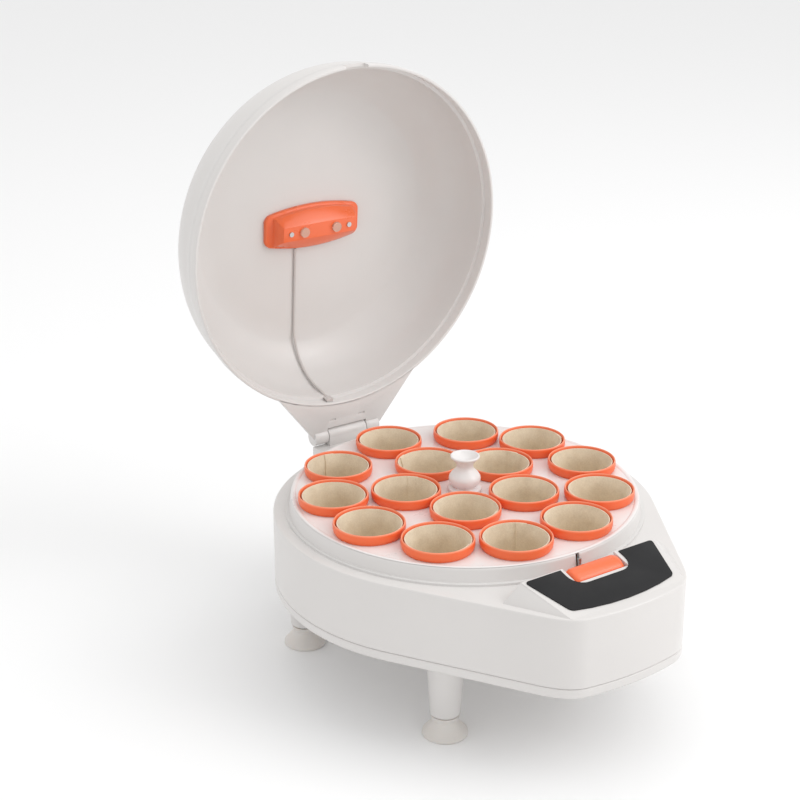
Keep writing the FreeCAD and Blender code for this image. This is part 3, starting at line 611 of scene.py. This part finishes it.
# %% [markdown]
# Each cup is a moulded tube with a rounded collar that rests on the plate. The collar's inner lip slopes
# down to the bore, where the liner's flared top leans on it. All cups are one form, turned once and
# copied.

# %% Cups
TOP = collar_top / MM
cup_floor = span("cup_1")[0].z / MM
cup_form = turned("cup_form", [
    (0.1, cup_floor), (22.8, cup_floor), (23.8, cup_floor + 1), (23.8, DRUM_TOP), (24.7, DRUM_TOP),
    (25.5, DRUM_TOP + 1.2), (26, DRUM_TOP + 3.2), (26, TOP - 1.9), (25.9, TOP - 1), (25.7, TOP - 0.4),
    (25.3, TOP), (25.0, TOP - 0.1), (24.7, TOP - 0.9), (22.8, TOP - 7.4), (22.6, TOP - 8),
    (22.6, cup_floor + 1.2), (0.1, cup_floor + 1.2)], 72)
for number, place in enumerate(cup_places, 1):
    dress(moved_copy(cup_form, f"cup_skin_{number}", (place.x, place.y, 0)), "orange_cup", "carousel",
          f"cup_{number}")
discard(cup_form)
print(len(cup_places), "cups")

# %% [markdown]
# A liner is a strip of fibre sheet rolled into the cup. It is modelled the same way: a flat grid of the
# strip's real length is rolled up with a slow change of radius, so its ends overlap and leave the upright
# seam that shows inside every cup. A round of the same sheet lies at the bottom.

# %% Liners
random.seed(11)
LINER_OUTER, LINER_WALL, LINER_FLARE, OVERLAP = 22.4, 0.8, 1.7, 7.0
liner_low, liner_high = span("liner_1")
LINER_TOP, LINER_FLOOR = liner_high.z / MM, liner_low.z / MM
SHEET = 2 * math.pi * (LINER_OUTER - LINER_WALL) + OVERLAP
SHEET_FOOT, DISC_RADIUS = 0.9, 20.8


def rolled_liner(name, seam):
    """Roll a flat strip into a spiral with overlapping ends, seam at an angle, with a floor disc."""
    clear_selection()
    bpy.ops.mesh.primitive_grid_add(x_subdivisions=80, y_subdivisions=6, size=1)
    strip = bpy.context.object
    strip.name = name
    for vertex in strip.data.vertices:
        along = (vertex.co.x + 0.5) * SHEET
        turn = along / (LINER_OUTER - LINER_WALL)
        radius = LINER_OUTER - 0.02 - 1.05 * LINER_WALL * turn / (2 * math.pi)
        if vertex.co.y > 0.49:
            radius += LINER_FLARE
        height = LINER_FLOOR + SHEET_FOOT + (vertex.co.y + 0.5) * (LINER_TOP - LINER_FLOOR - SHEET_FOOT)
        vertex.co = Vector((radius * math.cos(turn + seam), radius * math.sin(turn + seam), height)) * MM
    tidy_mesh(strip)
    inward = strip.data.polygons[0].normal.dot(strip.data.polygons[0].center * Vector((1, 1, 0))) < 0
    apply_modifier(strip, "SOLIDIFY", thickness=LINER_WALL * MM, offset=1.0 if inward else -1.0)
    bpy.ops.mesh.primitive_cylinder_add(vertices=48, radius=DISC_RADIUS * MM, depth=SHEET_FOOT * MM,
                                        location=(0, 0, (LINER_FLOOR + SHEET_FOOT / 2) * MM))
    disc = bpy.context.object
    settle(disc)
    whole = join(name, [strip, disc])
    soften(whole, 0.15 * MM, 1, 50)
    return whole


for number, place in enumerate(cup_places, 1):
    liner = rolled_liner(f"liner_skin_{number}", random.uniform(0, 2 * math.pi))
    liner.location = (place.x, place.y, 0)
    settle(liner)
    dress(liner, "liner_card", "carousel", f"liner_{number}")
print("liners rolled from a strip of", round(SHEET), "mm")

# %% [markdown]
# The lift knob is a small turned form: a round foot, a bulb to hold, a thin waist and a flared top with a
# shallow dish. It is fixed on the spindle at the middle of the plate.

# %% Lift knob
knob_low, knob_high = span("lift_knob")
K = DRUM_TOP
knob = turned("knob_skin", [
    (0.1, K), (12.6, K), (13, K + 0.5), (13, K + 2.0), (12.4, K + 2.8), (9.2, K + 3.4), (9.0, K + 4.2),
    (10.6, K + 5.6),
    (11.7, K + 7.6), (12.0, K + 9.6), (11.6, K + 11.6), (10.4, K + 13.6), (8.6, K + 15.4), (7.0, K + 17.0),
    (6.2, K + 18.6), (6.1, K + 20), (6.6, K + 21.6), (7.8, K + 23.4), (9.5, K + 25.1), (10.7, K + 26.2),
    (11, K + 27), (10.8, K + 27.7), (10.2, K + 28), (9.6, K + 27.7), (8.6, K + 26.6),
    (6.5, K + 24.6), (3.5, K + 23.2), (0.1, K + 22.8)], 64)
dress(knob, node_slot["lift_knob"], "carousel", "lift_knob")
print("knob height", round((knob_high.z - knob_low.z) / MM, 1))

# %% [markdown]
# The plate's rim laps over the edge of the drum, so no gap shows from above. The lap is a thin turned
# ring with a rounded edge, just clear of the drum's top.

# %% Plate rim
plate_rim = turned("plate_rim", [
    (125.6, K - 0.5), (126.5, K - 0.5), (126.5, K + 0.04), (129.4, K + 0.04), (129.3, K + 0.2),
    (128.9, K + 0.4), (128.2, K + 0.5), (127.0, K + 0.5), (125.8, K + 0.02)], 144)
dress(plate_rim, "white_plate", "carousel")
print("plate rim", len(plate_rim.data.polygons), "faces")

# %% [markdown]
# The lid is a deep dish of the same white plastic. It is turned in its closed place, joined with the
# hinge tab and two barrels, and swung up about the hinge pin to the open pose in the photograph.

# %% Lid
LID_RIM, LID_RADIUS, LID_WALL, LID_HEIGHT = SHOULDER + 0.6, 139.0, 2.4, 64.0
LID_SKIRT, LID_DRAFT, LID_CROWN, LID_BEND = 18.0, 3.0, 104.0, 46.0
LID_LEDGE = 2.4


def bend_points(start, end, radius, steps):
    """Points on the outward bulging arc of a radius from start to end."""
    middle = (Vector(start) + Vector(end)) / 2
    chord = Vector(end) - Vector(start)
    sag = math.sqrt(radius ** 2 - (chord.length / 2) ** 2)
    inward = Vector((-chord.y, chord.x)).normalized()
    centre = middle + inward * sag
    first = math.atan2(start[1] - centre.y, start[0] - centre.x)
    last = math.atan2(end[1] - centre.y, end[0] - centre.x)
    turns = [first + (last - first) * step / steps for step in range(steps + 1)]
    return [(centre.x + radius * math.cos(turn), centre.y + radius * math.sin(turn)) for turn in turns]


def dish(inset):
    """Half section of one face of the lid's dish, from rim to axis."""
    top = LID_RIM + LID_HEIGHT - inset
    skirt_top = (LID_RADIUS - LID_DRAFT - inset, LID_RIM + LID_SKIRT)
    bend = bend_points(skirt_top, (LID_CROWN - inset, top), LID_BEND, 12)
    flat = [(radius, top) for radius in (90 - inset, 60, 25, 0.1)]
    step = LID_LEDGE if inset else 0.5
    skirt = [(LID_RADIUS - inset, LID_RIM + 0.6), (LID_RADIUS - inset - 0.2, LID_RIM + 8.5),
             (LID_RADIUS - inset - 0.3 - step, LID_RIM + 9.3)]
    return skirt + bend + flat


outer, inner = dish(0), dish(LID_WALL)
rim = [(LID_RADIUS - LID_WALL + 0.5, LID_RIM), (LID_RADIUS - 0.5, LID_RIM)]
lid_skin = turned("lid_skin", list(reversed(inner)) + rim + outer, 144)
NOTCH_HALF, TAB_HALF, TAB_ROOT, TAB_SPREAD, SLOT_PLACE, SLOT_HALF = 10, 31, 118, 2.2, 14, 3
carve(lid_skin, bar("notch_tool", (-NOTCH_HALF * MM, -0.145, (LID_RIM - 5) * MM),
                    (NOTCH_HALF * MM, -0.13, (LID_RIM + 6) * MM), 0))
tab = bar("hinge_tab", (-TAB_HALF * MM, TAB_ROOT * MM, LID_RIM * MM),
          (TAB_HALF * MM, hinge.y, (LID_RIM + 5) * MM), 0)
for vertex in tab.data.vertices:
    if vertex.co.y < 0.13:
        vertex.co.x *= TAB_SPREAD
carve(tab, rod("dish_clear", (LID_RADIUS - LID_WALL * 0.6) * MM, (0, 0, hinge.z - 0.02),
               (0, 0, hinge.z + 0.02), 0.0001, 144))
half_gap = BODY_KNUCKLE / 2 + KNUCKLE_GAP
carve(tab, bar("barrel_gap", (-half_gap, hinge.y - KNUCKLE - MM, hinge.z - 0.01),
               (half_gap, hinge.y + 0.01, hinge.z + 0.01), 0))
for side in (-1, 1):
    carve(tab, bar("slot_tool", ((side * SLOT_PLACE - SLOT_HALF) * MM, 0.150, (LID_RIM - 1) * MM),
                   ((side * SLOT_PLACE + SLOT_HALF) * MM, 0.1516, (LID_RIM + 1) * MM), 0))
soften(tab, 0.3 * MM)
barrels = []
for side in (-1, 1):
    start = hinge + Vector((side * half_gap, 0, 0))
    end = start + Vector((side * LID_KNUCKLE, 0, 0))
    barrels.append(rod(f"lid_barrel_{side}", KNUCKLE, start, end, 0.6 * MM))
lid_skin = join("lid_skin", [lid_skin, tab] + barrels)
open_lid(lid_skin)
dress(lid_skin, "white_shell", "lid", "lid_shell")
print("lid opened by", round(math.degrees(LID_OPEN)), "degrees")

# %% [markdown]
# The lamp head under the crown is a hipped orange moulding: a low flange, a plain skirt, sloping sides
# and a narrow ridge with two clear lenses and two small screws.

# %% Lamp head
CEILING = LID_RIM + LID_HEIGHT - LID_WALL
LAMP_LENGTH, LAMP_WIDTH, LAMP_END, LAMP_DEPTH = 88, 36, 25, 15
LAMP_FLANGE, LAMP_SKIRT, LAMP_OFFSET = 3.6, 7.4, 4
LAMP_STEPS, CORNER_SHARES = 14, (0, 0.06, 0.2, 0.45, 0.7)
RIDGE_LENGTH, RIDGE_WIDTH = 68, 12


def lamp_ring(length, width, end, corner, level):
    """Outline of the lamp head at a level: short straight ends, rounded corners and bowed long sides."""
    inner = length / 2 - corner
    places = [length / 2 - corner * share for share in CORNER_SHARES]
    places += [inner * (1 - 2 * step / LAMP_STEPS) for step in range(LAMP_STEPS + 1)]
    places += [corner * share - length / 2 for share in reversed(CORNER_SHARES)]
    side = []
    for x in places:
        into_corner = max(0.0, abs(x) - inner)
        half = end / 2 + (width - end) / 2 * (1 - (2 * x / length) ** 2)
        side.append((x, half - corner + math.sqrt(max(0.0, corner ** 2 - into_corner ** 2))))
    return [Vector((x, y + LAMP_OFFSET, level)) * MM for x, y in side + [(-x, -y) for x, y in side]]


flange_foot = CEILING - LAMP_FLANGE
lamp = stacked("lamp_skin", [
    lamp_ring(LAMP_LENGTH, LAMP_WIDTH, LAMP_END, 5, CEILING + 0.3),
    lamp_ring(LAMP_LENGTH, LAMP_WIDTH, LAMP_END, 5, flange_foot + 1),
    lamp_ring(LAMP_LENGTH - 2, LAMP_WIDTH - 2, LAMP_END - 2, 4.5, flange_foot),
    lamp_ring(LAMP_LENGTH - 13, LAMP_WIDTH - 4, LAMP_END - 2, 1, flange_foot - 0.2),
    lamp_ring(LAMP_LENGTH - 14, LAMP_WIDTH - 5, LAMP_END - 3, 1, CEILING - LAMP_SKIRT),
    lamp_ring(RIDGE_LENGTH, RIDGE_WIDTH, RIDGE_WIDTH, 1, CEILING - LAMP_DEPTH)])
soften(lamp, 0.35 * MM, 2, 33)
open_lid(lamp)
dress(lamp, "orange_gloss", "lid", "lamp_housing")
print("lamp head", len(lamp.data.polygons), "faces")

# %% [markdown]
# The latch button is a soft pillow of orange plastic that follows the slope of the deck. Its side profile
# is carried across and shrinks towards both ends, which rounds them.

# %% Latch button
REAR, FRONT = -button_high.y / MM, -button_low.y / MM
low = button_low.z / MM
BUTTON_RISE, BUTTON_SINK, BUTTON_STEPS = 3.6, 1.8, 12
HALF = button_high.x / MM
STATIONS = ((1, 0.55), (0.985, 0.74), (0.95, 0.88), (0.89, 0.97), (0.8, 1.0))


def button_ring(x, fullness):
    """Side profile of the button; a lower fullness shrinks it towards its middle."""
    middle = (REAR + FRONT) / 2
    points = [(FRONT, low), (REAR, low)]
    for part in range(BUTTON_STEPS + 1):
        reach = REAR + (FRONT - REAR) * part / BUTTON_STEPS
        swell = math.sin(math.pi * part / BUTTON_STEPS) ** 0.6
        points.append((reach, deck_level(reach) - BUTTON_SINK + BUTTON_RISE * swell))
    across, up = 0.5 + 0.5 * fullness, 0.6 + 0.4 * fullness
    return [Vector((x, -middle - (reach - middle) * across, low + (z - low) * up)) * MM
            for reach, z in points]


ends = [(share * HALF, fullness) for share, fullness in STATIONS]
button = stacked("button_skin", [button_ring(-x, fullness) for x, fullness in ends]
                 + [button_ring(x, fullness) for x, fullness in reversed(ends)])
soften(button, 0.8 * MM, 3, 50)
dress(button, "orange_gloss", "latch", "latch_button")
print("button width", round((button_high.x - button_low.x) / MM, 1))

# %% [markdown]
# The control panel is a thin black overlay on the deck. Its outline has rounded corners, a bowed front
# and a cut-out that follows the latch button. The outline is drawn flat, its corners are rounded, and it
# is extruded and tilted.

# %% Panel overlay
PANEL_START, PANEL_DEPTH, PANEL_THICK = 1.0, 36.5, 0.8
PANEL_TOP, PANEL_FOOT, PANEL_BOW, PANEL_BORDER = 57.0, 45.5, 190.0, 3.0
cut_half = button_high.x / MM + 1 + PANEL_BORDER
cut_depth = (FRONT + 1 + PANEL_BORDER - DECK_REAR - DECK_RIDGE) / math.cos(DECK_SLOPE)
foot_line = -PANEL_START - PANEL_DEPTH
bow = [(x, foot_line - (math.sqrt(PANEL_BOW ** 2 - x * x) - math.sqrt(PANEL_BOW ** 2 - PANEL_FOOT ** 2)))
       for x in (-30, -15, 0, 15, 30)]
corners = ([(-PANEL_TOP, -PANEL_START), (-PANEL_FOOT, foot_line)] + bow
           + [(PANEL_FOOT, foot_line), (PANEL_TOP, -PANEL_START), (cut_half, -PANEL_START),
              (cut_half, -cut_depth), (-cut_half, -cut_depth), (-cut_half, -PANEL_START)])
ROUNDED = {0: 3, 1: 3, 7: 3, 8: 3, 10: 11, 11: 11}
clear_selection()
bpy.ops.mesh.primitive_circle_add(vertices=len(corners), radius=1, fill_type="NGON")
panel = bpy.context.object
panel.name = "panel_skin"
for vertex, (x, y) in zip(panel.data.vertices, corners):
    vertex.co = Vector((x, y, 0)) * MM
for size in (11, 3):
    places = [Vector((*corners[index], 0)) * MM for index, radius in ROUNDED.items() if radius == size]
    bpy.ops.object.mode_set(mode="EDIT")
    bpy.ops.mesh.select_mode(type="VERT")
    bpy.ops.mesh.select_all(action="DESELECT")
    bpy.ops.object.mode_set(mode="OBJECT")
    for vertex in panel.data.vertices:
        vertex.select = any((vertex.co - place).length < 0.0001 for place in places)
    bpy.ops.object.mode_set(mode="EDIT")
    bpy.ops.mesh.bevel(offset=size * MM, segments=6, affect="VERTICES")
    bpy.ops.object.mode_set(mode="OBJECT")
bpy.ops.object.mode_set(mode="EDIT")
bpy.ops.mesh.select_all(action="SELECT")
bpy.ops.mesh.extrude_region_move(TRANSFORM_OT_translate={"value": (0, 0, PANEL_THICK * MM)})
bpy.ops.object.mode_set(mode="OBJECT")
tidy_mesh(panel)
soften(panel, 0.15 * MM, 2, 60)
panel.matrix_world = (Matrix.Translation(Vector((0, -DECK_REAR - DECK_RIDGE, DECK_TOP)) * MM)
                      @ Matrix.Rotation(DECK_SLOPE, 4, "X"))
settle(panel)
dress(panel, "panel_black", "base", "panel_overlay")
print("panel width", round(2 * PANEL_TOP), "mm")

# %% [markdown]
# The photograph is a plain studio shot: a pale sweep, a large soft light above and to the right, and a
# weaker fill from the front, so the shadows are faint. The camera stands ahead and to the left, and looks
# down a little.

# %% Floor, lights and camera
FLOOR_SIZE = 40
material, tree, surface, place = shader("studio_floor")
surface.inputs["Base Color"].default_value = (0.92, 0.92, 0.92, 1)
surface.inputs["Roughness"].default_value = 0.85
clear_selection()
bpy.ops.mesh.primitive_plane_add(size=FLOOR_SIZE, location=(0, 0, 0))
floor = bpy.context.object
floor.name = "studio_floor"
floor.data.materials.append(material)

world = bpy.data.worlds.new("studio_world")
bpy.context.scene.world = world
world.use_nodes = True
sky = world.node_tree.nodes["Background"]
sky.inputs["Color"].default_value = (1.0, 1.0, 1.0, 1)
sky.inputs["Strength"].default_value = 0.9


def soft_light(name, place, target, size, power):
    """A square area light aimed at a target."""
    bpy.ops.object.light_add(type="AREA", location=place)
    light = bpy.context.object
    light.name = name
    light.data.shape = "SQUARE"
    light.data.size = size
    light.data.energy = power
    light.rotation_euler = (Vector(target) - Vector(place)).to_track_quat("-Z", "Y").to_euler()


soft_light("key_light", (0.9, -0.9, 1.6), (0, 0, 0.2), 1.2, 6)
soft_light("front_fill", (1.3, -1.5, 1.3), (0, 0.15, 0.35), 1.0, 9)
soft_light("top_light", (0.2, 0.3, 2.2), (0, 0, 0.1), 1.6, 6)

CAMERA_PLACE, CAMERA_LENS, SENSOR_WIDTH = (-0.702, -0.9249, 0.6581), 76.5, 36
bpy.ops.object.camera_add(location=CAMERA_PLACE)
camera = bpy.context.object
camera.name = "photo_camera"
axes = Matrix(((0.8210, 0.2066, -0.5323), (-0.5710, 0.2971, -0.7653), (0.0, 0.9322, 0.3619)))
camera.rotation_euler = axes.to_euler()
camera.data.lens = CAMERA_LENS
camera.data.sensor_width = SENSOR_WIDTH
bpy.context.scene.camera = camera
bpy.context.scene.view_settings.view_transform = "Standard"
